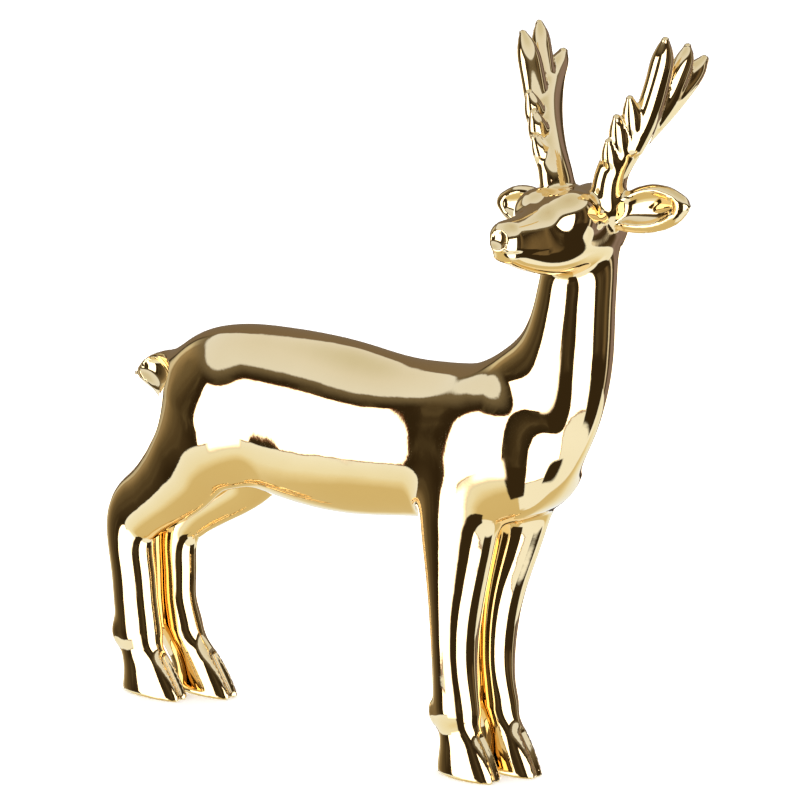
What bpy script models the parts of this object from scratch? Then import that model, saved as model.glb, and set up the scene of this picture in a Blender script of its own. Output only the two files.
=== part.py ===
"""A standing deer figurine with its head turned to the right, cast as one ceramic piece.

The deer walks towards +X and its left side faces +Y. It stands on the flat soles of four hooves at Z = 0.
Every station is in parts of the figurine's height, so the whole pose follows HEIGHT.
"""
import math

import bmesh
import bpy
import numpy as np
from mathutils import Vector

# Driving dimensions, in metres
HEIGHT = 0.240
LEG_SPACING = 0.0124

# The pose is written in parts of the height: there are PARTS of them from the soles to the antler tips
PARTS = 238.7
PART = HEIGHT / PARTS
HALF_SPACING = LEG_SPACING / 2 / PART

# How finely the clay is worked, in parts of the height, and how many faces are left
CLAY_GRAIN = 1.1
CLAY_STROKES = 6
RING_SIDES = 28
RING_STEP = 2.0
CARVING_SIDES = 12
CARVING_STEP = 2.5
FACE_TARGET = 8400

# Trunk stations from the rump, along the back and up the neck: x, y, z, half depth, half width
TRUNK = [
    (-55, 0, 101.5, 18.6, 14.4),
    (-42, 0, 103.8, 24.4, 17.7),
    (-20, 0, 103.1, 27.5, 19.0),
    (10, 0, 102.4, 27.8, 19.0),
    (35, 0, 103.4, 25.2, 17.7),
    (55, 0, 106.6, 24.2, 16.7),
    (73, 0, 112.4, 23.4, 15.8),
    (87.6, 0, 123, 20.4, 14.8),
    (94.6, 0, 139, 16.3, 13.2),
    (97.4, 0, 155, 13.5, 11.7),
    (98.8, 1, 169, 12.2, 11.2),
    (99, 2, 178, 11.4, 10.7),
]
TAIL = [
    (-57, 0, 107.5, 9.5, 6.2),
    (-66, 0, 108, 8.7, 5.2),
    (-75, 0, 107, 5.8, 3.6),
    (-82.4, 0, 105.4, 2.3, 1.8),
]

# Leg stations of the right legs: x, distance out from the leg's line, z, half depth, half width
FORE_LEG = [
    (63, 2.4, 108, 15.4, 6.8),
    (60, 2.0, 96, 15.8, 7.3),
    (58.6, 1.4, 86, 15.2, 7.4),
    (58.2, 0.7, 75, 13.6, 6.9),
    (57.4, 0.1, 61, 11.0, 6.0),
    (56.4, 0, 43, 8.8, 5.5),
    (56.4, 0, 33, 8.6, 5.4),
    (56.6, 0, 24, 9.1, 5.4),
    (57.0, 0, 17, 9.2, 5.5),
]
HIND_LEG = [
    (-44, 2.4, 99, 18.4, 7.8),
    (-50, 1.9, 87, 17.0, 7.3),
    (-60.5, 1.1, 74.5, 14.2, 6.8),
    (-72, 0.4, 66, 11.8, 6.2),
    (-80.2, 0, 58, 10.8, 5.9),
    (-81.5, 0, 50, 9.5, 5.7),
    (-80.4, 0, 41, 9.2, 5.6),
    (-79.4, 0, 30, 9.2, 5.5),
    (-78.2, 0, 22, 9.5, 5.5),
    (-76.7, 0, 16, 9.8, 5.5),
]
# How much further forward each station of the left leg stands than the right one's
FORE_STRIDE = [6.4, 6.4, 6.2, 5.4, 4.8, 4.9, 4.7, 5.0, 6.2]
HIND_STRIDE = [10, 10, 9.5, 9.5, 9, 8, 6.8, 5.8, 6.8, 9.2]

# A hoof from the pastern down to below the sole: forward of the fetlock, z, half depth, half width
HOOF = [(0, 17, 9.0, 5.1), (2.4, 9, 9.9, 5.1), (4.6, 0, 12.2, 5.15), (6, -5, 12.8, 5.15)]
HOOF_PLACES = {"fore": (57.0, 6.6, 0.0), "hind": (-76.8, 11.0, 2.0)}
FETLOCK_BACK = 8.0
FETLOCK_RISE = 19.0
FETLOCK_RADII = (2.0, 3.6, 4.1)

# The head has its own axes: forward, left and up. It faces the deer's right and leans a little
HEAD_CENTRE = (101.0, 0.0, 185.0)
HEAD_LEAN = math.radians(4)
HEAD_FORWARD = np.array([0.0, -1.0, 0.0])
HEAD_LEFT = np.array([math.cos(HEAD_LEAN), 0.0, math.sin(HEAD_LEAN)])
HEAD_UP = np.array([-math.sin(HEAD_LEAN), 0.0, math.cos(HEAD_LEAN)])

# Head stations: forward, left, up, then the two half sizes
SKULL = [
    (-4, 0, -4, 11.2, 10.7),
    (5, 0, -5, 12.2, 11.8),
    (14, 0, -6.0, 12.2, 11.0),
    (24, 0, -6.0, 11.2, 9.0),
    (32, 0, -4.4, 9.2, 7.6),
    (37, 0, -2.8, 8.0, 7.0),
]
EAR = [
    (0, 9, -0.5, 4.2, 3.3),
    (-1, 15, -1.0, 5.8, 3.5),
    (-2.5, 23, 0.7, 7.2, 3.5),
    (-3, 31, 1.6, 5.2, 2.8),
    (-3, 35, 1.6, 2.3, 1.7),
]
RIGHT_EAR_DROP = 3.2
EAR_CUP = [(3.2, 17, -0.4, 3.0, 3.0), (1.2, 23.5, 1.0, 4.8, 3.0), (0.4, 31, 1.8, 2.6, 2.6)]

ANTLER_BEAM = [
    (0.6, 9.5, 1, 7.2, 5.4),
    (0.3, 10.4, 9, 6.8, 5.0),
    (-1.2, 13.2, 16, 6.9, 4.8),
    (-4.8, 17, 24, 8.2, 4.7),
    (-11, 21.2, 31, 8.8, 4.4),
    (-18, 24.6, 36, 6.9, 3.9),
    (-24, 26.4, 40, 3.5, 2.7),
    (-26.2, 27, 42.4, 1.8, 1.6),
]
ANTLER_TINES = [
    [(1.5, 12.5, 13, 3.4, 2.9), (4.0, 13.2, 18, 3.1, 2.7), (5.4, 13.8, 21.2, 1.8, 1.7)],
    [(0.6, 15, 19, 3.6, 3.0), (2.6, 15.4, 25, 3.2, 2.8), (3.4, 15.6, 28.2, 1.9, 1.8)],
    [(-1.8, 18, 24, 3.6, 3.0), (0.0, 18.6, 30, 3.2, 2.8), (1.0, 18.9, 33.6, 1.9, 1.8)],
    [(-6.0, 21, 28, 4.5, 3.5), (-7.2, 24, 39, 4.5, 3.5), (-7.4, 26, 46.5, 3.4, 3.0), (-7.2, 26.9, 50.4, 2.0, 1.9)],
    [(-13.5, 24, 34, 4.3, 3.3), (-16.2, 26.3, 42, 3.8, 3.2), (-17.6, 27.6, 47.2, 2.6, 2.4), (-17.8, 27.8, 48.8, 1.7, 1.7)],
    [(-19, 25.5, 37, 3.5, 3.1), (-23, 26.3, 40, 3.2, 2.9), (-25.6, 26.8, 42, 2.4, 2.2), (-26.2, 26.9, 42.6, 1.6, 1.6)],
]

# Carving
MOUTH = [(28, 9.0, -7.0, 0.7, 0.8), (34, 8.0, -6.6, 0.7, 0.8), (40, 5.6, -6.3, 0.7, 0.8), (42.9, 0, -6.0, 0.7, 0.8)]
CLEFT_HALF_WIDTH = 0.7
CLEFT_HALF_DEPTH = 1.7

FINISH_COLOUR = (0.93, 0.70, 0.33, 1.0)
FINISH_ROUGHNESS = 0.06


def clear_scene():
    """Start from an empty scene."""
    for old in list(bpy.data.objects):
        bpy.data.objects.remove(old)


def spline_rows(stations, step):
    """Rows evenly along a smooth line through the stations, with its direction at each row."""
    rows = np.asarray(stations, float)
    lengths = np.linalg.norm(np.diff(rows[:, :3], axis=0), axis=1)
    knots = np.concatenate([[0], np.cumsum(lengths)])
    count = len(knots)
    system = np.eye(count)
    bend = np.zeros_like(rows)
    for i in range(1, count - 1):
        before, after = lengths[i - 1], lengths[i]
        system[i, i - 1:i + 2] = before, 2 * (before + after), after
        bend[i] = 6 * ((rows[i + 1] - rows[i]) / after - (rows[i] - rows[i - 1]) / before)
    curvature = np.linalg.solve(system, bend)
    places = np.linspace(0, knots[-1], max(3, int(round(knots[-1] / step)) + 1))
    spans = np.clip(np.searchsorted(knots, places, side="right") - 1, 0, count - 2)
    along = (places - knots[spans])[:, None]
    width = lengths[spans][:, None]
    slope = (rows[spans + 1] - rows[spans]) / width - width * (2 * curvature[spans] + curvature[spans + 1]) / 6
    cubic = (curvature[spans + 1] - curvature[spans]) / (6 * width)
    smooth = rows[spans] + along * (slope + along * (curvature[spans] / 2 + along * cubic))
    direction = (slope + along * (curvature[spans] + along * 3 * cubic))[:, :3]
    return smooth, direction / np.linalg.norm(direction, axis=1)[:, None]


def add_limb(mesh, stations, side, ends=(1.0, 1.0), step=RING_STEP, sides=RING_SIDES):
    """One closed limb: elliptical rings along the smooth line, with a dome at each end.

    Each station is x, y, z, half depth, half width. The half width lies along side.
    """
    smooth, direction = spline_rows(stations, step)
    side = np.asarray(side, float)
    rings = []
    domes = [math.radians(a) for a in (75, 50, 25)]
    places = [(0, a, -1) for a in domes]
    places += [(i, 0.0, 0) for i in range(len(smooth))]
    places += [(len(smooth) - 1, a, 1) for a in reversed(domes)]
    poles = []
    for i, lean, end in places:
        row, tangent = smooth[i], direction[i]
        across = side - side.dot(tangent) * tangent
        across /= np.linalg.norm(across)
        deep = np.cross(across, tangent)
        reach = min(row[3], row[4]) * ends[0 if end < 0 else 1]
        centre = row[:3] + tangent * end * reach * math.sin(lean)
        shrink = math.cos(lean)
        ring = []
        for k in range(sides):
            turn = 2 * math.pi * k / sides
            spot = centre + shrink * (row[3] * math.cos(turn) * deep + row[4] * math.sin(turn) * across)
            ring.append(mesh.verts.new(spot * PART))
        rings.append(ring)
    for i, end in ((0, -1), (len(smooth) - 1, 1)):
        reach = min(smooth[i][3], smooth[i][4]) * ends[0 if end < 0 else 1]
        poles.append(mesh.verts.new((smooth[i][:3] + direction[i] * end * reach) * PART))
    faces = []
    for lower, upper in zip(rings, rings[1:]):
        for k in range(sides):
            n = (k + 1) % sides
            faces.append(mesh.faces.new((lower[k], lower[n], upper[n], upper[k])))
    for k in range(sides):
        n = (k + 1) % sides
        faces.append(mesh.faces.new((rings[0][n], rings[0][k], poles[0])))
        faces.append(mesh.faces.new((rings[-1][k], rings[-1][n], poles[1])))
    bmesh.ops.recalc_face_normals(mesh, faces=faces)


def add_ball(mesh, centre, radii):
    """A rounded lump with its own half sizes."""
    made = bmesh.ops.create_uvsphere(mesh, u_segments=20, v_segments=12, radius=1.0)
    for vert in made["verts"]:
        spot = [centre[i] + vert.co[i] * radii[i] for i in range(3)]
        vert.co = Vector(spot) * PART


def in_head(stations, hand=1, drop=0.0):
    """Head stations turned into figurine stations. A hand of -1 gives the deer's right side."""
    rows = []
    for forward, left, up, *sizes in stations:
        spot = np.array(HEAD_CENTRE) + forward * HEAD_FORWARD + hand * left * HEAD_LEFT + (up - drop) * HEAD_UP
        rows.append((*spot, *sizes))
    return rows


def leg_rows(stations, stride, hand):
    """A leg's stations on its own side. The left leg stands forward by the stride."""
    rows = []
    for (x, out, z, depth, width), forward in zip(stations, stride):
        y = hand * (HALF_SPACING + out)
        rows.append((x + (forward if hand > 0 else 0), y, z, depth, width))
    return rows


def hoof_line(which, hand):
    """A hoof's place along x, its side and how much longer it is than the plain one."""
    x, stride, longer = HOOF_PLACES[which]
    return x + (stride if hand > 0 else 0), hand * HALF_SPACING, longer


def add_hoof(mesh, which, hand):
    """Pastern and hoof, flaring forward to the toe, with the fetlock's bump behind."""
    x, y, longer = hoof_line(which, hand)
    rows = []
    for i, (forward, z, depth, width) in enumerate(HOOF):
        rows.append((x + forward, y, z, depth + longer * i / (len(HOOF) - 1), width))
    add_limb(mesh, rows, (0, 1, 0))
    add_ball(mesh, (x - FETLOCK_BACK, y, FETLOCK_RISE), FETLOCK_RADII)


def body_mesh():
    """All limbs as overlapping closed lofts, ready to be worked into one skin."""
    mesh = bmesh.new()
    add_limb(mesh, TRUNK, (0, 1, 0), ends=(1.1, 0.6))
    add_limb(mesh, TAIL, (0, 1, 0))
    add_limb(mesh, in_head(SKULL), HEAD_LEFT, ends=(1.0, 0.8))
    for hand in (1, -1):
        add_limb(mesh, leg_rows(FORE_LEG, FORE_STRIDE, hand), (0, 1, 0), ends=(1.0, 0.5))
        add_limb(mesh, leg_rows(HIND_LEG, HIND_STRIDE, hand), (0, 1, 0), ends=(1.0, 0.5))
        for which in HOOF_PLACES:
            add_hoof(mesh, which, hand)
        drop = 0.0 if hand > 0 else RIGHT_EAR_DROP
        add_limb(mesh, in_head(EAR, hand, drop), HEAD_FORWARD)
        add_limb(mesh, in_head(ANTLER_BEAM, hand), HEAD_LEFT)
        for tine in ANTLER_TINES:
            add_limb(mesh, in_head(tine, hand), HEAD_LEFT, step=RING_STEP / 2)
    return mesh


def carving_mesh():
    """What is carved away: the ears' cups, the line of the mouth and the cleft of each hoof."""
    mesh = bmesh.new()
    for hand in (1, -1):
        drop = 0.0 if hand > 0 else RIGHT_EAR_DROP
        add_limb(mesh, in_head(EAR_CUP, hand, drop), HEAD_FORWARD, step=CARVING_STEP, sides=CARVING_SIDES)
    mouth = in_head(MOUTH) + in_head(MOUTH[:-1], hand=-1)[::-1]
    add_limb(mesh, mouth, HEAD_UP, step=CARVING_STEP, sides=CARVING_SIDES)
    for hand in (1, -1):
        for which in HOOF_PLACES:
            x, y, longer = hoof_line(which, hand)
            front = [x + f + d + longer * i / (len(HOOF) - 1) for i, (f, z, d, w) in enumerate(HOOF)]
            rows = [(front[i], y, HOOF[i][1], CLEFT_HALF_DEPTH, CLEFT_HALF_WIDTH) for i in (1, 2, 3)]
            add_limb(mesh, rows, (0, 1, 0), step=CARVING_STEP, sides=CARVING_SIDES)
    return mesh


def ground_mesh():
    """The block below the soles that cuts them flat."""
    mesh = bmesh.new()
    bmesh.ops.create_cube(mesh, size=2 * PARTS * PART)
    bmesh.ops.translate(mesh, verts=mesh.verts, vec=(0, 0, -PARTS * PART))
    return mesh


def place(name, mesh, parent):
    """Turn a finished mesh into a named object under the given parent."""
    data = bpy.data.meshes.new(name)
    mesh.to_mesh(data)
    mesh.free()
    thing = bpy.data.objects.new(name, data)
    bpy.context.scene.collection.objects.link(thing)
    thing.parent = parent
    return thing


def cutter(name, mesh, parent):
    """An object that only cuts others."""
    thing = place(name, mesh, parent)
    thing.hide_render = True
    thing.display_type = "WIRE"
    return thing


def cut_with(thing, other, name):
    """Take the cutter away from the piece."""
    carve = thing.modifiers.new(name, "BOOLEAN")
    carve.operation = "DIFFERENCE"
    carve.solver = "EXACT"
    carve.object = other
    return carve


def gold_finish():
    """Mirror gold over glazed ceramic."""
    finish = bpy.data.materials.new("mirror_gold")
    finish.use_nodes = True
    shader = finish.node_tree.nodes["Principled BSDF"]
    shader.inputs["Base Color"].default_value = FINISH_COLOUR
    shader.inputs["Metallic"].default_value = 1.0
    shader.inputs["Roughness"].default_value = FINISH_ROUGHNESS
    return finish


def evaluated(thing):
    """The piece's mesh with all its modifiers, and where it stands."""
    bpy.context.view_layer.update()
    return thing.evaluated_get(bpy.context.evaluated_depsgraph_get())


def make_deer():
    """Work the limbs into one skin, thin its faces out, carve it and cut the soles flat."""
    stand = bpy.data.objects.new("figurine_origin", None)
    bpy.context.scene.collection.objects.link(stand)
    deer = place("deer_figurine", body_mesh(), stand)
    carving = cutter("carving_cutter", carving_mesh(), stand)
    ground = cutter("ground_cutter", ground_mesh(), stand)

    skin = deer.modifiers.new("one_skin", "REMESH")
    skin.mode = "VOXEL"
    skin.voxel_size = CLAY_GRAIN * PART
    strokes = deer.modifiers.new("clay_strokes", "SMOOTH")
    strokes.factor = 0.5
    strokes.iterations = CLAY_STROKES
    fine_faces = 2 * len(evaluated(deer).data.polygons)
    thin = deer.modifiers.new("fewer_faces", "DECIMATE")
    thin.ratio = FACE_TARGET / fine_faces
    cut_with(deer, carving, "carving")
    cut_with(deer, ground, "flat_soles")

    finished = evaluated(deer)
    corners = np.array([finished.matrix_world @ vert.co for vert in finished.data.vertices])
    middle = (corners.min(axis=0) + corners.max(axis=0)) / 2
    stand.location = (-middle[0], -middle[1], 0)
    deer.data.materials.append(gold_finish())
    deer.data.shade_smooth()
    return deer


clear_scene()
make_deer()
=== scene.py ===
"""A ceramic deer figurine in mirror gold, standing on a pale studio floor.

The deer is worked as clay would be: rolls and lumps are pressed together, hollows are gouged out, and one smooth
skin is drawn over the whole. Stations are in parts of the figurine's height, as in its solid.
"""
import math

import bmesh
import bpy
import numpy as np
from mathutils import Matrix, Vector


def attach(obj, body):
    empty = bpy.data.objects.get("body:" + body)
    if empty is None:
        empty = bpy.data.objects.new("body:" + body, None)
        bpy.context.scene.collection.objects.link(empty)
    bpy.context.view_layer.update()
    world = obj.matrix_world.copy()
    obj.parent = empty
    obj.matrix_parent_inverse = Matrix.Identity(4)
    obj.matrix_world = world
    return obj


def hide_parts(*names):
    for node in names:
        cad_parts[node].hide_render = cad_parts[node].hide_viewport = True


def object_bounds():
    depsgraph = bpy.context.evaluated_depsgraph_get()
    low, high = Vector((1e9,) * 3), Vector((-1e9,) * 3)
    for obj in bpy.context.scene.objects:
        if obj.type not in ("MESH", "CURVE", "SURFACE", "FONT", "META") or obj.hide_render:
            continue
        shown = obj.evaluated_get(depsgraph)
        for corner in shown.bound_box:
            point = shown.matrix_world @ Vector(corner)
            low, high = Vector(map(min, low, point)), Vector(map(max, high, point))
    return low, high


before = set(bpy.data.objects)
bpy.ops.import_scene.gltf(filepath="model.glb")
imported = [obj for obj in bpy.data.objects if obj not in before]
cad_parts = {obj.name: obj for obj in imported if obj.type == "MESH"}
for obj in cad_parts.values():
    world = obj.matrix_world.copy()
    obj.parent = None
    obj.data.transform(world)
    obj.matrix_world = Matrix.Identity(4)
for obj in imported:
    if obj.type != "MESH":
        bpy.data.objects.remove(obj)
solid_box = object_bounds()

# Stations are written in parts of the height: there are PARTS of them from the soles to the antler tips
PARTS = 238.7
# How finely the skin is drawn along each axis: from each place on, the width of its cells, in parts.
# The head and the hooves are drawn finer than the trunk
CELLS = [
    [(-200, 1.15), (80, 0.72)],
    [(-200, 0.95)],
    [(-40, 0.8), (24, 1.15), (160, 0.72)],
]
# Cells are first looked at in groups this many wide, and finely within this many group widths of the surface
GROUP = 4
NEAR_GROUPS = 2.6
# How far outside a roll or lump its shape is still felt, and the distance beyond that
REACH = 16.0
FAR = 30.0
# Places along a roll where the search for its nearest place can start, spots searched at a time, steps of the
# search, and the least curving back that a step divides by
MARKS = 60
BATCH = 20000
SEARCH_STEPS = 4
LEAST_TURN = 0.2
# How far to each side depths are taken to see which way they grow, how often a corner is moved onto the surface,
# and the least slope that a move divides by
SLOPE_STEP = 0.05
SETTLE_STEPS = 3
LEAST_SLOPE = 0.05
# Keeps a division from meeting nought
TINY = 1e-9
# The eight corners of a cell
CORNERS = [(i, j, k) for i in (0, 1) for j in (0, 1) for k in (0, 1)]

# Trunk stations from the rump along the back, and up the neck: x, y, z, half depth, half width
TRUNK = [
    (-68.4, 0, 100.2, 2.6, 2.4),
    (-67, 0, 100.3, 6.9, 5.5),
    (-64, 0, 100.5, 11.8, 9.2),
    (-60, 0, 100.9, 15.6, 12.0),
    (-55, 0, 101.6, 19.0, 14.4),
    (-48, 0, 102.7, 22.4, 16.3),
    (-40, 0, 103.4, 24.6, 17.6),
    (-20, 0, 102.9, 27.3, 18.8),
    (10, 0, 102.4, 27.6, 18.8),
    (35, 0, 103.4, 25.0, 17.5),
    (55, 0, 105.6, 24.0, 18.0),
    (70, 0, 108.2, 22.4, 17.6),
    (76, 0, 109.2, 22.2, 17.4),
]
NECK = [
    (66, 0, 104, 18.8, 10.8),
    (79, 0, 114.8, 20.8, 11.4),
    (88.6, 0, 127, 19.4, 12.2),
    (94.9, 0, 141, 15.7, 12.3),
    (97.6, 0, 155, 13.3, 11.5),
    (98.8, 1, 169, 12.0, 11.0),
    (99, 2, 178, 11.2, 10.5),
]
TAIL = [
    (-50, 0, 108.5, 9.6, 8.4),
    (-63, 0, 108.6, 8.0, 7.2),
    (-73, 0, 107.8, 6.2, 5.0),
    (-79.4, 0, 106.5, 3.7, 3.1),
    (-82.9, 0, 105.7, 1.2, 1.1),
]
# The hollow in each side of the tail: centre, half sizes, and how far it is turned to face the rear
TAIL_HOLLOW = ((-69.0, 8.8, 109.4), (12.0, 6.2, 6.6))
TAIL_HOLLOW_TURN = math.radians(30)
# Shoulder and thigh of one side: centre, then half sizes
SHOULDER = ((72, 7.9, 106.5), (22, 9.8, 21))
THIGH = ((-37, 8.6, 98), (18, 11.8, 21))

# Leg stations of the right legs, down to below the sole: x, distance out, z, half depth, half width
FORE_LEG = [
    (68, 8.0, 112, 16.6, 8.6),
    (65, 8.4, 102, 17.0, 9.0),
    (61, 9.1, 89, 15.4, 9.3),
    (59.4, 9.0, 75, 13.0, 8.5),
    (58.5, 8.6, 61, 10.4, 7.9),
    (57.5, 8.0, 44, 8.3, 7.0),
    (57.3, 7.5, 33, 8.1, 6.3),
    (57.4, 7.1, 25, 8.5, 5.9),
    (57.6, 6.8, 20, 8.6, 5.8),
    (58.4, 6.5, 14.5, 7.9, 4.9),
    (59.8, 6.3, 9, 9.5, 5.4),
    (61.7, 6.3, 0, 12.1, 5.8),
    (63, 6.3, -6, 12.9, 5.8),
]
HIND_LEG = [
    (-44, 9.0, 99, 16.6, 9.2),
    (-50, 9.4, 87, 16.0, 8.8),
    (-60.5, 8.6, 75, 13.8, 7.6),
    (-72, 7.2, 66, 11.4, 6.4),
    (-80.2, 6.2, 58, 10.6, 5.7),
    (-81.5, 6.2, 50, 9.3, 5.5),
    (-80.4, 6.2, 41, 9.0, 5.4),
    (-79.4, 6.2, 30, 9.0, 5.3),
    (-78.6, 6.2, 24, 9.2, 5.5),
    (-78.0, 6.2, 19.5, 9.2, 5.5),
    (-76.8, 6.2, 14, 8.7, 4.8),
    (-74.6, 6.2, 8, 10.6, 5.3),
    (-72.2, 6.2, 0, 13.7, 5.6),
    (-70.8, 6.2, -6, 14.7, 5.6),
]
# How much further forward each station of the left leg stands than the right one's
FORE_STRIDE = [3, 4.4, 5.4, 4.4, 2.9, 2.6, 2.7, 3.5, 4.6, 5.8, 6.4, 6.4, 6.4]
HIND_STRIDE = [10, 10, 9.5, 9.5, 9, 8, 6.8, 5.8, 6.4, 7.4, 9.2, 10.6, 11.0, 11.0]
# The bump behind each fetlock: its x on the right leg, the left one's stride, z and half sizes
FETLOCKS = [(50.0, 5.6, 19.5, 3.0, 3.8, 4.6), (-85.4, 7.4, 19.5, 3.0, 3.8, 4.6)]
# The cleft between the toes, down the front of each hoof: x on the right leg, z; and the left one's stride
CLEFTS = [([(67.4, 14), (70.4, 9), (72.9, 4), (74.8, -1), (76.4, -6)], 6.6),
          ([(-66.8, 14), (-63.4, 9), (-60.1, 4), (-57.3, -1), (-55, -6)], 10.8)]
CLEFT_SIZE = 1.5
# How far out the hooves stand
LEG_SIDE = 6.2

# The head has its own axes: forward, left and up. It faces the deer's right and leans a little
HEAD_CENTRE = np.array([101.0, 0.0, 185.0])
HEAD_LEAN = math.radians(4)
HEAD_FORWARD = np.array([0.0, -1.0, 0.0])
HEAD_LEFT = np.array([math.cos(HEAD_LEAN), 0.0, math.sin(HEAD_LEAN)])
HEAD_UP = np.array([-math.sin(HEAD_LEAN), 0.0, math.cos(HEAD_LEAN)])

# Head stations: forward, left, up, then the two half sizes
SKULL = [
    (-4, 0, -4, 10.6, 10.2),
    (5, 0, -5, 11.6, 11.2),
    (14, 0, -6.0, 11.6, 10.3),
    (24, 0, -6.2, 9.9, 8.2),
    (32, 0, -5.3, 7.8, 6.8),
    (37.2, 0, -4.4, 6.5, 6.0),
    (40.2, 0, -4.0, 5.1, 4.9),
    (41.7, 0, -3.8, 3.2, 3.1),
]
SKULL_SQUARENESS = 2.35
# Lumps and hollows of the head: forward, left, up and half sizes along those
BROW = (14.5, 6.7, 0.6, 7.6, 6.2, 6.8)
EYE = (8.0, 11.3, -1.8, 3.0, 1.5, 2.3)
NOSE_DISH = (44.2, 0.0, -2.2, 3.6, 4.6, 4.0)
MOUTH = [(28, 8.6, -8.4, 1.0, 1.0), (33, 7.7, -8.0, 1.0, 1.0), (38.5, 6.0, -7.8, 1.0, 1.0), (43.4, 0, -7.4, 0.9, 0.9)]
EAR = [
    (0, 9, -0.5, 4, 3.1),
    (-1, 14, -1.0, 5.6, 3.4),
    (-2.2, 21, 0.3, 7.1, 3.5),
    (-3, 28, 1.4, 6.5, 3.1),
    (-3.2, 32.2, 1.8, 4.8, 2.6),
    (-3.3, 34.6, 2.0, 3.1, 2.0),
    (-3.3, 35.9, 2.0, 1.7, 1.3),
    (-3.3, 36.4, 2.0, 0.8, 0.7),
]
EAR_CUP = [(2.9, 14, -0.6, 3.2, 3.0), (1.7, 21, 0.9, 5.1, 3.6), (0.8, 27, 1.8, 4.6, 3.2), (0.4, 30.6, 2.1, 3.0, 2.4)]
RIGHT_EAR_DROP = 3.2
BEAM = [
    (0.5, 9.5, 1, 6.6, 5.2),
    (0.3, 10.4, 9, 6.1, 4.7),
    (-1.4, 13.2, 16, 5.8, 4.5),
    (-6.1, 17.6, 24, 6.2, 4.2),
    (-13.1, 22.0, 31.0, 5.6, 3.8),
    (-20, 25, 36.6, 4.2, 3.3),
    (-24.6, 26.3, 40.2, 2.7, 2.5),
    (-26.3, 26.7, 41.8, 1.6, 1.6),
]
TINES = [
    [(1.0, 12.5, 12, 3.2, 2.8), (3.6, 13.2, 17.6, 3.0, 2.6), (5.1, 13.9, 21.1, 1.3, 1.2)],
    [(0.0, 15, 18, 3.4, 2.9), (2.0, 15.4, 24.6, 3.1, 2.7), (3.0, 15.7, 28.1, 1.3, 1.2)],
    [(-2.4, 18, 23, 3.4, 2.9), (-0.6, 18.6, 29.6, 3.1, 2.7), (0.5, 19.0, 33.5, 1.3, 1.2)],
    [(-2.6, 17, 19, 4.0, 3.4), (-5.6, 20.6, 28, 4.4, 3.6), (-7.5, 24, 39, 4.2, 3.5), (-7.8, 26.0, 46.5, 3.0, 2.8),
     (-7.6, 26.9, 50.1, 1.3, 1.2)],
]
# The second long tine stands higher on the right antler than on the left one
SECOND_TINES = {
    1: [(-9.5, 20.4, 26, 3.5, 3.1), (-13.6, 23.6, 34, 3.8, 3.3), (-16.4, 25.9, 41, 3.4, 3.0),
        (-17.6, 27.0, 45.2, 2.2, 2.1), (-17.8, 27.3, 46.9, 1.2, 1.2)],
    -1: [(-9.5, 20.4, 26, 3.5, 3.1), (-13.6, 24.0, 35, 3.8, 3.3), (-16.4, 26.9, 44, 3.4, 3.0),
         (-17.6, 28.2, 49.8, 2.2, 2.1), (-17.8, 28.6, 51.8, 1.2, 1.2)],
}

# Width of the fillet where each piece is pressed on, and of the lip round each hollow
FILLETS = {
    "tail": 1, "trunk": 12, "neck": 16, "shoulder": 9, "thigh": 7, "fore leg": 6, "hind leg": 8, "fetlock": 4.5,
    "skull": 7, "brow": 8, "eye": 1.2, "ear": 3, "beam": 3, "tine": 0.9,
}
LIPS = {"tail": 1.2, "cleft": 1.6, "sole": 2.4, "nose": 1.0, "mouth": 1.2, "ear": 1.6}
# Width of the seam between two legs
LEG_SEAM = 0.8
# How far the domes at a roll's two ends stand out, in shares of its half size
DOMES = {"neck": (1.0, 0.6), "leg": (1.0, 0.5), "skull": (1.0, 0.3), "ear": (1.0, 0.6)}

# Where the stations' own origin lies in the solid's frame, in metres
ORIGIN = (-0.022981, 0.007647)
# How far inside the solid's box the skin stays, in metres
SKIN_MARGIN = 0.00002
FLOOR_SIZE = 16.0

# Camera: aim and distances in metres, swing and tilt in degrees, lens in millimetres
AIM = (0.020253, -0.010250, 0.120654)
AWAY = 1.5082
SWING = 40.0
TILT = 14.0
LENS = 220.7
CLIP_END = 20.0


class SmoothLine:
    """A smooth line through stations of numbers, the first three being a place."""

    def __init__(self, stations):
        self.rows = np.asarray(stations, float)
        self.spans = np.linalg.norm(np.diff(self.rows[:, :3], axis=0), axis=1)
        self.knots = np.concatenate([[0], np.cumsum(self.spans)])
        count = len(self.knots)
        system, pull = np.eye(count), np.zeros_like(self.rows)
        for i in range(1, count - 1):
            before, after = self.spans[i - 1], self.spans[i]
            system[i, i - 1:i + 2] = before, 2 * (before + after), after
            pull[i] = 6 * ((self.rows[i + 1] - self.rows[i]) / after - (self.rows[i] - self.rows[i - 1]) / before)
        self.bend = np.linalg.solve(system, pull)
        width = self.spans[:, None]
        rise = (self.rows[1:] - self.rows[:-1]) / width
        self.slope = rise - width * (2 * self.bend[:-1] + self.bend[1:]) / 6
        self.twist = (self.bend[1:] - self.bend[:-1]) / (6 * width)

    def at(self, along, order=0):
        """The numbers at a distance along the line, or how fast they change."""
        i = np.clip(np.searchsorted(self.knots, along, side="right") - 1, 0, len(self.spans) - 1)
        s = (along - self.knots[i])[:, None]
        if order == 0:
            return self.rows[i] + s * (self.slope[i] + s * (self.bend[i] / 2 + s * self.twist[i]))
        if order == 1:
            return self.slope[i] + s * (self.bend[i] + s * 3 * self.twist[i])
        return self.bend[i] + s * 6 * self.twist[i]


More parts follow.
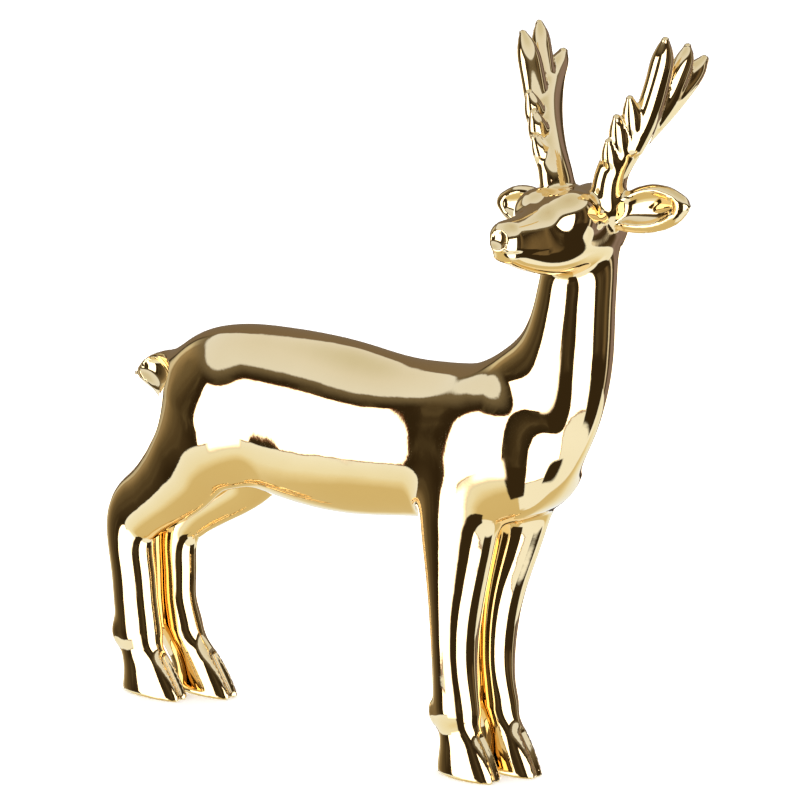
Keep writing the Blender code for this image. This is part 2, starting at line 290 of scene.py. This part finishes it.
class Roll:
    """A roll of clay: an ellipse swept along a smooth line, with a dome at each end."""

    def __init__(self, stations, side=(0, 1, 0), domes=(1.0, 1.0), squareness=2.0):
        self.squareness = squareness
        self.line = SmoothLine(stations)
        self.side = np.asarray(side, float)
        self.domes = domes
        self.alongs = np.linspace(0, self.line.knots[-1], MARKS)
        self.middles = self.line.at(self.alongs)
        size = (self.middles[:, 3:5].max(1) * max(1.0, *domes))[:, None]
        self.low = (self.middles[:, :3] - size).min(0) - REACH
        self.high = (self.middles[:, :3] + size).max(0) + REACH

    def nearest_mark(self, spots):
        """The mark on the line nearest to each spot, a few thousand spots at a time."""
        found = np.empty(len(spots), int)
        for start in range(0, len(spots), BATCH):
            part = spots[start:start + BATCH]
            gaps = (self.middles[:, :3] ** 2).sum(1) - 2 * part @ self.middles[:, :3].T
            found[start:start + BATCH] = gaps.argmin(1)
        return found

    def depth(self, spots):
        """Distance of each spot outside the roll, negative inside."""
        along = self.alongs[self.nearest_mark(spots)]
        step = self.alongs[1]
        low = np.maximum(along - step, 0)
        high = np.minimum(along + step, self.alongs[-1])
        for _ in range(SEARCH_STEPS):
            spot, first, second = (self.line.at(along, k)[:, :3] for k in (0, 1, 2))
            off = ((spots - spot) * first).sum(1)
            turn = ((spots - spot) * second).sum(1) - (first * first).sum(1)
            along = np.clip(along - off / np.minimum(turn, -LEAST_TURN), low, high)
        row = self.line.at(along)
        tangent = self.line.at(along, 1)[:, :3]
        tangent /= np.linalg.norm(tangent, axis=1)[:, None]
        across = self.side - (tangent @ self.side)[:, None] * tangent
        across /= np.linalg.norm(across, axis=1)[:, None]
        deep = np.cross(across, tangent)
        away = spots - row[:, :3]
        u, v, w = (away * deep).sum(1), (away * across).sum(1), (away * tangent).sum(1)
        end = np.where(w < 0, self.domes[0], self.domes[1]) * np.minimum(row[:, 3], row[:, 4])
        return egg_depth(u, v, w, row[:, 3], row[:, 4], end, self.squareness)


class Lump:
    """An egg-shaped lump with its own axes."""

    def __init__(self, centre, radii, turn=np.eye(3)):
        self.centre, self.radii = np.asarray(centre, float), np.asarray(radii, float)
        self.turn = np.asarray(turn, float)
        size = self.radii.max() + REACH
        self.low, self.high = self.centre - size, self.centre + size

    def depth(self, spots):
        u, v, w = ((spots - self.centre) @ self.turn.T).T
        return egg_depth(u, v, w, *self.radii)


class Ground:
    """Everything below the soles."""

    low, high = np.full(3, -math.inf), np.array([math.inf, math.inf, REACH])

    def depth(self, spots):
        """Height of each spot, negative below the soles."""
        return spots[:, 2]


def egg_depth(u, v, w, a, b, c, squareness=2.0):
    """Near enough the distance outside an ellipsoid of half sizes a, b and c. Over 2 its sides are flatter."""
    shares = np.abs([u / a, v / b, w / c])
    total = np.maximum((shares ** squareness).sum(0), TINY)
    size = total ** (1 / squareness)
    slopes = shares ** (squareness - 1) / np.abs([a + 0 * u, b + 0 * u, c + 0 * u])
    steep = np.sqrt((slopes ** 2).sum(0)) * total ** (1 / squareness - 1)
    if squareness > 2:
        return (size - 1) / np.maximum(steep, TINY)
    return size * (size - 1) / np.maximum(size * steep, TINY)


def press(one, other, soft):
    """Two pieces of clay pressed together, with a fillet of that width."""
    near = np.maximum(soft - np.abs(one - other), 0) / soft
    return np.minimum(one, other) - near ** 3 * soft / 6


def gouge(one, other, soft):
    """One piece with the other gouged out of it, with a rounded lip."""
    near = np.maximum(soft - np.abs(one + other), 0) / soft
    return np.maximum(one, -other) + near ** 3 * soft / 6


class Figure:
    """Pieces of clay worked together in order."""

    def __init__(self):
        self.steps = []

    def add(self, piece, soft):
        """Press a piece onto everything that is there."""
        self.steps.append((piece, soft, "add"))

    def hold(self):
        """Keep what is there as the body that limbs grow out of."""
        self.steps.append((None, 0, "hold"))

    def limb(self, piece, soft, seam):
        """Grow a limb out of the held body with a wide fillet, and only a thin seam to other limbs."""
        self.steps.append((piece, (soft, seam), "limb"))

    def hollow(self, piece, soft):
        """Gouge a piece out."""
        self.steps.append((piece, soft, "hollow"))

    def depth(self, spots):
        """Distance of each spot outside the figure, negative inside."""
        found = np.full(len(spots), FAR)
        body = found
        for piece, soft, how in self.steps:
            if how == "hold":
                body = found.copy()
                continue
            near = np.nonzero(((spots > piece.low) & (spots < piece.high)).all(1))[0]
            if not len(near):
                continue
            new = piece.depth(spots[near])
            if how == "limb":
                grown = press(body[near], new, soft[0])
                part = np.clip((body[near] - grown) / soft[1], 0, 1)
                seam = np.maximum(soft[1] - np.abs(found[near] - grown), 0) / soft[1]
                found[near] = np.minimum(found[near], grown) - part * seam ** 3 * soft[1] / 6
            elif how == "add":
                found[near] = press(found[near], new, soft)
            else:
                found[near] = gouge(found[near], new, soft)
        return found

    def steepness(self, spots):
        """Which way each spot's distance grows."""
        slopes = np.empty_like(spots)
        for i in range(3):
            move = np.zeros(3)
            move[i] = SLOPE_STEP
            slopes[:, i] = (self.depth(spots + move) - self.depth(spots - move)) / (2 * SLOPE_STEP)
        return slopes

    def box(self):
        """Lowest and highest corners that the figure can reach."""
        pieces = [piece for piece, soft, how in self.steps if how in ("add", "limb")]
        return np.min([p.low for p in pieces], axis=0), np.max([p.high for p in pieces], axis=0)


def grid_lines(low, high, cells, factor):
    """Places of the grid's lines along one axis, in whole groups."""
    places = [low]
    while places[-1] < high or (len(places) - 1) % GROUP:
        width = [width for start, width in cells if start <= places[-1]][-1]
        places.append(places[-1] + width * factor)
    return np.array(places)


def grid_depths(figure, factor):
    """The grid's lines and the figure's depth at each crossing, worked out finely only near the surface."""
    low, high = figure.box()
    lines = [grid_lines(low[i], high[i], CELLS[i], factor) for i in range(3)]
    axes = [line[::GROUP] for line in lines]
    count = np.array([len(axis) for axis in axes])
    grid = np.stack(np.meshgrid(*axes, indexing="ij"), -1).reshape(-1, 3)
    rough = figure.depth(grid).reshape(count)
    size = (count - 1) * GROUP + 1
    depths = rough
    for axis in range(3):
        depths = np.repeat(depths, GROUP, axis)
    depths = np.where(depths[:size[0], :size[1], :size[2]] > 0, FAR, -FAR)
    near = np.abs(rough) < NEAR_GROUPS * factor * GROUP
    blocks = np.zeros(count - 1, bool)
    for offset in CORNERS:
        blocks |= at_corner(near, offset)
    fine = np.zeros(size, bool)
    for axis in range(3):
        blocks = np.repeat(blocks, GROUP, axis)
    fine[:-1, :-1, :-1] = blocks
    for axis in range(3):
        fine |= np.roll(fine, 1, axis)
    depths[fine] = figure.depth(np.stack([lines[i][places] for i, places in enumerate(np.nonzero(fine))], 1))
    return lines, depths


def at_corner(values, offset):
    """For every cell, the value at one of its corners."""
    size = values.shape
    return values[tuple(slice(step, size[i] - 1 + step) for i, step in enumerate(offset))]


def skin_points(lines, depths, crossed):
    """One point in each crossed cell: the middle of the places where the surface cuts its edges."""
    cells = np.argwhere(crossed)
    total, hits = np.zeros((len(cells), 3)), np.zeros(len(cells))
    for start in CORNERS:
        for axis in range(3):
            if start[axis]:
                continue
            end = list(start)
            end[axis] = 1
            one, two = at_corner(depths, start)[crossed], at_corner(depths, end)[crossed]
            change = (one < 0) != (two < 0)
            share = one[change] / (one[change] - two[change])
            total[change] += np.array(start, float) + share[:, None] * np.eye(3)[axis]
            hits[change] += 1
    shares = total / hits[:, None]
    points = np.empty_like(shares)
    for i, line in enumerate(lines):
        start = cells[:, i]
        points[:, i] = line[start] + shares[:, i] * (line[start + 1] - line[start])
    return points


def skin_faces(inside, numbers):
    """A face round each grid edge that the surface cuts, between the points of the four cells that share it."""
    faces = []
    for axis in range(3):
        first, second = (axis + 1) % 3, (axis + 2) % 3
        lower = np.take(inside, range(inside.shape[axis] - 1), axis)
        upper = np.take(inside, range(1, inside.shape[axis]), axis)
        edges = np.argwhere(lower != upper)
        edges = edges[(edges[:, first] > 0) & (edges[:, second] > 0)]
        edges = edges[(edges[:, first] < numbers.shape[first]) & (edges[:, second] < numbers.shape[second])]
        outward = lower[tuple(edges.T)]
        ring = []
        for back_first, back_second in ((1, 1), (0, 1), (0, 0), (1, 0)):
            cell = edges.copy()
            cell[:, first] -= back_first
            cell[:, second] -= back_second
            ring.append(numbers[tuple(cell.T)])
        face = np.stack(ring, 1)
        face[~outward] = face[~outward][:, ::-1]
        faces.append(face)
    return np.concatenate(faces)


def draw_skin(figure, factor):
    """Draw a net of four-sided faces over the figure, one corner in each small cell that its surface crosses."""
    lines, depths = grid_depths(figure, factor)
    inside = depths < 0
    full = sum(at_corner(inside, offset).astype(np.int8) for offset in CORNERS)
    crossed = (full > 0) & (full < len(CORNERS))
    numbers = np.full(crossed.shape, -1)
    numbers[crossed] = np.arange(np.count_nonzero(crossed))
    return skin_points(lines, depths, crossed), skin_faces(inside, numbers)


def settle(figure, points):
    """Move points straight onto the figure's surface."""
    for _ in range(SETTLE_STEPS):
        slopes = figure.steepness(points)
        size = np.maximum((slopes ** 2).sum(1), LEAST_SLOPE)
        points = points - (figure.depth(points) / size)[:, None] * slopes
    return points


def in_head(stations, hand=1, drop=0.0):
    """Head stations turned into figurine stations. A hand of -1 gives the deer's right side."""
    rows = []
    for forward, left, up, *sizes in stations:
        spot = HEAD_CENTRE + forward * HEAD_FORWARD + hand * left * HEAD_LEFT + (up - drop) * HEAD_UP
        rows.append((*spot, *sizes))
    return rows


def leg(stations, stride, hand):
    """A leg on its own side. The left leg stands forward by the stride."""
    rows = []
    for (x, out, z, depth, width), forward in zip(stations, stride):
        rows.append((x + (forward if hand > 0 else 0), hand * out, z, depth, width))
    return Roll(rows, domes=DOMES["leg"])


def in_head_lump(forward, left, up, deep, wide, tall, hand=1):
    """A lump given in the head's axes."""
    centre = HEAD_CENTRE + forward * HEAD_FORWARD + hand * left * HEAD_LEFT + up * HEAD_UP
    return Lump(centre, (deep, wide, tall), [HEAD_FORWARD, HEAD_LEFT, HEAD_UP])


def work_body(deer):
    """Tail, trunk and neck, with the shoulders and thighs."""
    deer.add(Roll(TAIL), FILLETS["tail"])
    deer.add(Roll(TRUNK), FILLETS["trunk"])
    for hand in (1, -1):
        (x, y, z), radii = TAIL_HOLLOW
        rear, out = math.cos(TAIL_HOLLOW_TURN), math.sin(TAIL_HOLLOW_TURN)
        turn = [(-rear, -hand * out, 0), (-out, hand * rear, 0), (0, 0, 1)]
        deer.hollow(Lump((x, hand * y, z), radii, turn), LIPS["tail"])
    deer.add(Roll(NECK, domes=DOMES["neck"]), FILLETS["neck"])
    for hand in (1, -1):
        for name, ((x, y, z), radii) in (("shoulder", SHOULDER), ("thigh", THIGH)):
            deer.add(Lump((x, hand * y, z), radii), FILLETS[name])


def work_legs(deer, hand):
    """The two legs of one side, with fetlocks and cloven hooves."""
    deer.limb(leg(FORE_LEG, FORE_STRIDE, hand), FILLETS["fore leg"], LEG_SEAM)
    deer.limb(leg(HIND_LEG, HIND_STRIDE, hand), FILLETS["hind leg"], LEG_SEAM)
    for x, stride, z, *radii in FETLOCKS:
        x += stride if hand > 0 else 0
        deer.add(Lump((x, hand * LEG_SIDE, z), radii), FILLETS["fetlock"])
    for cleft, stride in CLEFTS:
        forward = stride if hand > 0 else 0
        rows = [(x + forward, hand * LEG_SIDE, z, CLEFT_SIZE, CLEFT_SIZE) for x, z in cleft]
        deer.hollow(Roll(rows), LIPS["cleft"])


def work_head(deer):
    """Skull, brows, eyes, nose and mouth."""
    skull = Roll(in_head(SKULL), side=HEAD_LEFT, domes=DOMES["skull"], squareness=SKULL_SQUARENESS)
    deer.add(skull, FILLETS["skull"])
    for hand in (1, -1):
        deer.add(in_head_lump(*BROW, hand), FILLETS["brow"])
        deer.add(in_head_lump(*EYE, hand), FILLETS["eye"])
    deer.hollow(in_head_lump(*NOSE_DISH), LIPS["nose"])
    lips = in_head(MOUTH) + in_head(MOUTH[:-1], -1)[::-1]
    deer.hollow(Roll(lips, side=HEAD_UP), LIPS["mouth"])


def work_ear_and_antler(deer, hand):
    """The cupped ear and the antler of one side."""
    drop = 0.0 if hand > 0 else RIGHT_EAR_DROP
    deer.add(Roll(in_head(EAR, hand, drop), side=HEAD_FORWARD, domes=DOMES["ear"]), FILLETS["ear"])
    deer.hollow(Roll(in_head(EAR_CUP, hand, drop), side=HEAD_FORWARD), LIPS["ear"])
    deer.add(Roll(in_head(BEAM, hand), side=HEAD_LEFT), FILLETS["beam"])
    for tine in (*TINES, SECOND_TINES[hand]):
        deer.add(Roll(in_head(tine, hand), side=HEAD_LEFT), FILLETS["tine"])


def work_deer():
    """The whole deer as worked clay."""
    deer = Figure()
    work_body(deer)
    deer.hold()
    for hand in (1, -1):
        work_legs(deer, hand)
    deer.hollow(Ground(), LIPS["sole"])
    work_head(deer)
    for hand in (1, -1):
        work_ear_and_antler(deer, hand)
    return deer


class Signal:
    """A number, colour or direction on one node's socket, so that shader maths reads as maths."""

    def __init__(self, bench, socket):
        self.bench, self.socket = bench, socket

    def maths(self, how, *others):
        settings = {"operation": how}
        return self.bench.add("ShaderNodeMath", settings, {i: v for i, v in enumerate((self, *others))})

    def __add__(self, other):
        return self.maths("ADD", other)

    __radd__ = __add__

    def __mul__(self, other):
        return self.maths("MULTIPLY", other)

    __rmul__ = __mul__

    def __sub__(self, other):
        return self.maths("SUBTRACT", other)

    def __rsub__(self, other):
        return self.maths("MULTIPLY", -1.0).maths("ADD", other)


class Bench:
    """Makes the nodes of one tree and joins them."""

    def __init__(self, tree):
        self.tree = tree
        tree.nodes.clear()

    def add(self, kind, settings=None, sockets=None, out=0):
        """One node: its settings are set first, then the values or links of its sockets."""
        node = self.tree.nodes.new(kind)
        for name, value in (settings or {}).items():
            if name == "stops":
                ramp = node.color_ramp
                while len(ramp.elements) < len(value):
                    ramp.elements.new(0.5)
                for element, (place, colour) in zip(ramp.elements, value):
                    element.position, element.color = place, colour
            else:
                setattr(node, name, value)
        for name, value in (sockets or {}).items():
            if isinstance(value, Signal):
                self.tree.links.new(value.socket, node.inputs[name])
            else:
                node.inputs[name].default_value = value
        return Signal(self, node.outputs[out]) if node.outputs else None

    def fade(self, value, start, end):
        """0 before start, 1 after end, and soft in between."""
        sockets = {"Value": value, "From Min": start, "From Max": end}
        return self.add("ShaderNodeMapRange", {"interpolation_type": "SMOOTHSTEP"}, sockets)

    def blend(self, share, one, other):
        """One colour turning into the other as the share goes from 0 to 1."""
        node = {"data_type": "RGBA"}
        return self.add("ShaderNodeMix", node, {"Factor": share, 6: one, 7: other}, out=2)


# The plating's two tones, and the floor's
LIGHT_GOLD, DEEP_GOLD = (0.985, 0.765, 0.415, 1.0), (0.955, 0.735, 0.390, 1.0)
LIGHT_SHEET, DEEP_SHEET = (0.93, 0.93, 0.93, 1.0), (0.90, 0.90, 0.90, 1.0)
# Scales of the plating's patches of tone, of its uneven polish, and of the waves and ripples in the glaze below
TONE_SCALE, POLISH_SCALE, WAVE_SCALE, RIPPLE_SCALE = 28.0, 90.0, 95.0, 420.0
# Roughness where it is polished best, and how much is added elsewhere
POLISHED, DULLED = 0.022, 0.03


def mirror_gold():
    """Gold plated over glaze: a mirror, a little uneven in tone, polish and flatness."""
    finish = bpy.data.materials.new("mirror_gold")
    finish.use_nodes = True
    bench = Bench(finish.node_tree)
    place = bench.add("ShaderNodeTexCoord", out=3)

    def noise(scale, detail=2.0):
        """An uneven pattern of that scale."""
        return bench.add("ShaderNodeTexNoise", None, {"Vector": place, "Scale": scale, "Detail": detail})

    tone = bench.fade(noise(TONE_SCALE), 0.35, 0.65)
    colour = bench.blend(tone, LIGHT_GOLD, DEEP_GOLD)
    polish = noise(POLISH_SCALE, 3.0)
    roughness = POLISHED + DULLED * polish
    wave = noise(WAVE_SCALE, 1.0) * 0.8 + noise(RIPPLE_SCALE) * 0.08
    normal = bench.add("ShaderNodeBump", None, {"Strength": 0.12, "Distance": 0.001, "Height": wave})
    shader = bench.add("ShaderNodeBsdfPrincipled", None, {
        "Base Color": colour, "Metallic": 1.0, "Roughness": roughness, "Normal": normal})
    bench.add("ShaderNodeOutputMaterial", None, {"Surface": shader})
    return finish


def pale_floor():
    """A very pale matt sheet, faintly mottled."""
    finish = bpy.data.materials.new("pale_floor")
    finish.use_nodes = True
    bench = Bench(finish.node_tree)
    place = bench.add("ShaderNodeTexCoord", out=3)
    mottle = bench.add("ShaderNodeTexNoise", None, {"Vector": place, "Scale": 3.0})
    colour = bench.blend(mottle, DEEP_SHEET, LIGHT_SHEET)
    sheet = bench.add("ShaderNodeBsdfPrincipled", None, {
        "Base Color": colour, "Roughness": 0.9, "Specular IOR Level": 0.0,
        "Emission Color": (1.0, 1.0, 1.0, 1.0), "Emission Strength": 0.35})
    bench.add("ShaderNodeOutputMaterial", None, {"Surface": sheet})
    return finish


# Studio, as seen from the figurine: azimuth from +X towards +Y and elevation, in degrees
WALL_LOW, WALL_HIGH = -26.0, 29.5
# The dark walls, from azimuth -180 round to 180
WALL = [
    (-180, (0.34, 0.27, 0.17)),
    (-172, (0.20, 0.155, 0.09)),
    (-164, (0.10, 0.075, 0.042)),
    (-154, (0.055, 0.040, 0.022)),
    (-143, (0.030, 0.020, 0.010)),
    (-94, (0.020, 0.014, 0.007)),
    (-78, (0.055, 0.040, 0.022)),
    (-62, (0.020, 0.014, 0.007)),
    (-14, (0.022, 0.015, 0.008)),
    (6, (0.060, 0.042, 0.022)),
    (20, (0.035, 0.024, 0.013)),
    (31, (0.17, 0.125, 0.07)),
    (39, (0.035, 0.024, 0.013)),
    (46, (0.035, 0.024, 0.013)),
    (48, (0.72, 0.70, 0.66)),
    (52, (0.80, 0.80, 0.80)),
    (54, (0.050, 0.034, 0.020)),
    (61, (0.060, 0.040, 0.025)),
    (66, (0.27, 0.22, 0.25)),
    (84, (0.24, 0.19, 0.20)),
    (90, (0.040, 0.028, 0.015)),
    (163, (0.040, 0.028, 0.015)),
    (167, (0.62, 0.60, 0.50)),
    (174, (0.70, 0.66, 0.55)),
    (177, (0.34, 0.27, 0.17)),
    (180, (0.34, 0.27, 0.17)),
]
# The walls turn to this colour from an elevation on, towards the ceiling
WALL_TOP_FROM = 20.0
WALL_TOP = (0.17, 0.145, 0.105, 1.0)
# They are hazy in patches: colour, share at the most, and where in the clutter a patch starts and is whole
HAZE = (0.13, 0.105, 0.065, 1.0)
HAZE_SHARE = 0.6
HAZE_START, HAZE_WHOLE = 0.45, 0.75
# Where the soft edges of ceiling and ground start and end, in degrees above WALL_HIGH and below WALL_LOW
CEILING_EDGE = (-1, 1)
GROUND_EDGE = (0.5, 1.5)
# Ceiling and ground, by elevation
CEILING = [(30, (0.80, 0.89, 1.10)), (45, (0.77, 0.83, 0.96)), (58, (0.68, 0.72, 0.74)), (90, (0.62, 0.62, 0.58))]
# The ground is the floor as the mirror sees it, and it turns darker and yellower straight down: painted shade of the
# figurine on the floor and painted reflection of the gold in itself
GROUND = [(-90, (0.66, 0.57, 0.34)), (-48, (0.68, 0.60, 0.37)), (-43, (0.815, 0.79, 0.62)), (-39, (0.88, 0.93, 0.90)),
          (-31, (0.91, 1.00, 1.10)), (-25, (0.97, 1.09, 1.34))]
# The softboxes, and the warm fringe round them with its width in degrees
WHITE = (2.7, 2.7, 2.8, 1.0)
FRINGE = (0.22, 0.075, 0.03, 1.0)
FRINGE_WIDTH = 0.8
# Strength of the plain white that the camera sees instead, and that lights the floor
PLAIN_STRENGTH = 1.05
# The screens
PALE = (0.95, 1.05, 1.22, 1.0)
BROWN = (0.20, 0.16, 0.12, 1.0)
DARK = (0.035, 0.024, 0.012, 1.0)
# Each screen or softbox is its first and last azimuth, lowest and highest elevation, and the softness of its edge
SCREENS = [
    ((100, 160, -6, 42, 3), BROWN),
    ((284, 420, -86, -34, 8), PALE),
    ((266, 298, -58, -22, 3), DARK),
    ((348, 405, -46, -20, 3), DARK),
]
SOFTBOXES = [
    (92, 160, -24, -7, 2),
    (224, 266, -26.5, 18, 1.2),
    (236, 268, -32, -16, 6),
    (298, 346, -40, 18, 1.2),
]


def studio():
    """The studio is painted on the sky: cards of light round the figurine, ceiling and ground."""
    world = bpy.data.worlds.new("studio")
    bpy.context.scene.world = world
    world.use_nodes = True
    bench = Bench(world.node_tree)
    way = bench.add("ShaderNodeTexCoord", out=0)
    split = bench.add("ShaderNodeSeparateXYZ", None, {"Vector": way})
    x, y, z = (Signal(bench, split.socket.node.outputs[i]) for i in range(3))
    azimuth = y.maths("ARCTAN2", x)
    height = z.maths("ARCSINE")
    turn = math.radians

    def colours(value, stops):
        """A row of colours, each at its own angle."""
        first, last = stops[0][0], stops[-1][0]
        share = bench.add("ShaderNodeMapRange", None, {"Value": value, "From Min": turn(first), "From Max": turn(last)})
        stops = [((angle - first) / (last - first), (*colour, 1.0)) for angle, colour in stops]
        return bench.add("ShaderNodeValToRGB", {"stops": stops}, {"Fac": share})

    def card(first, last, low, high, soft, grow=0.0):
        """1 on the card and 0 off it."""
        middle, half = turn((first + last) / 2), turn((last - first) / 2)
        gap = (azimuth - middle).maths("WRAP", math.pi, -math.pi).maths("ABSOLUTE")
        wide = bench.fade(gap, half + turn(soft / 2 + grow), half + turn(grow - soft / 2))
        over = bench.fade(height, turn(low - soft / 2 - grow), turn(low + soft / 2 - grow))
        under = bench.fade(height, turn(high + soft / 2 + grow), turn(high - soft / 2 + grow))
        return wide * over * under

    def all_softboxes(grow):
        """All the softboxes as one shape, so that no edge shows where two meet."""
        shape = card(*SOFTBOXES[0], grow)
        for box in SOFTBOXES[1:]:
            shape = shape.maths("MAXIMUM", card(*box, grow))
        return shape

    tall = bench.add("ShaderNodeVectorMath", {"operation": "MULTIPLY"}, {0: way, 1: (1.0, 1.0, 0.35)})
    clutter = bench.add("ShaderNodeTexNoise", None, {"Vector": tall, "Scale": 5.0, "Detail": 3.0})
    light = bench.blend(bench.fade(clutter, HAZE_START, HAZE_WHOLE) * HAZE_SHARE, colours(azimuth, WALL), HAZE)
    light = bench.blend(bench.fade(height, turn(WALL_TOP_FROM), turn(WALL_HIGH)), light, WALL_TOP)
    ceiling = bench.fade(height, *(turn(WALL_HIGH + edge) for edge in CEILING_EDGE))
    light = bench.blend(ceiling, light, colours(height, CEILING))
    ground = bench.fade(height, *(turn(WALL_LOW - edge) for edge in GROUND_EDGE))
    light = bench.blend(ground, light, colours(height, GROUND))
    for screen, colour in SCREENS:
        light = bench.blend(card(*screen), light, colour)
    light = bench.blend(all_softboxes(FRINGE_WIDTH), light, FRINGE)
    light = bench.blend(all_softboxes(0.0), light, WHITE)
    painted = bench.add("ShaderNodeBackground", None, {"Color": light})
    plain = bench.add("ShaderNodeBackground", None, {"Color": (1.0, 1.0, 1.0, 1.0), "Strength": PLAIN_STRENGTH})
    mirror = bench.add("ShaderNodeLightPath", out=3)
    seen = bench.add("ShaderNodeMixShader", None, {0: mirror, 1: plain, 2: painted})
    bench.add("ShaderNodeOutputWorld", None, {"Surface": seen})


def draw_in(points, low, high):
    """Narrow the skin along each level axis where it is a hair wider than the solid's box."""
    for axis in range(2):
        least, most = points[:, axis].min(), points[:, axis].max()
        room_low, room_high = low[axis] + SKIN_MARGIN, high[axis] - SKIN_MARGIN
        share = min(1.0, (room_high - room_low) / (most - least))
        middle = (least + most) / 2
        half = (most - least) / 2 * share
        moved = min(max(middle, room_low + half), room_high - half)
        points[:, axis] = moved + (points[:, axis] - middle) * share


def make_deer():
    """Draw the skin and set it in the solid's place."""
    figure = work_deer()
    points, faces = draw_skin(figure, 1.0)
    points = settle(figure, points)
    points[:, 2] = np.maximum(points[:, 2], 0.0)
    slopes = figure.steepness(points)
    normals = slopes / np.linalg.norm(slopes, axis=1)[:, None]
    low, high = (np.array(corner) for corner in solid_box)
    scale = (high[2] - low[2]) / PARTS
    points = points * scale + np.array([*ORIGIN, 0.0])
    draw_in(points, low, high)
    data = bpy.data.meshes.new("gold_deer")
    data.from_pydata(points.tolist(), [], faces.tolist())
    data.polygons.foreach_set("use_smooth", np.ones(len(faces), bool))
    data.normals_split_custom_set_from_vertices(normals.tolist())
    deer = bpy.data.objects.new("gold_deer", data)
    bpy.context.scene.collection.objects.link(deer)
    data.materials.append(mirror_gold())
    return deer


def make_floor():
    """A wide sheet under the figurine."""
    mesh = bmesh.new()
    bmesh.ops.create_grid(mesh, x_segments=8, y_segments=8, size=FLOOR_SIZE / 2)
    data = bpy.data.meshes.new("floor")
    mesh.to_mesh(data)
    mesh.free()
    floor = bpy.data.objects.new("floor", data)
    bpy.context.scene.collection.objects.link(floor)
    data.materials.append(pale_floor())
    floor.visible_glossy = False
    return floor


def make_camera():
    """The camera at the photograph's angle."""
    lens = bpy.data.cameras.new("camera")
    lens.lens = LENS
    lens.clip_end = CLIP_END
    camera = bpy.data.objects.new("camera", lens)
    bpy.context.scene.collection.objects.link(camera)
    swing, tilt = math.radians(SWING), math.radians(TILT)
    back = Vector((math.sin(swing) * math.cos(tilt), -math.cos(swing) * math.cos(tilt), math.sin(tilt)))
    camera.location = Vector(AIM) + AWAY * back
    camera.rotation_euler = back.to_track_quat("Z", "Y").to_euler()
    bpy.context.scene.camera = camera


studio()
make_camera()
deer = make_deer()
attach(deer, "root")
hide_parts("deer_figurine")
make_floor()
bpy.context.scene.view_settings.view_transform = "Standard"
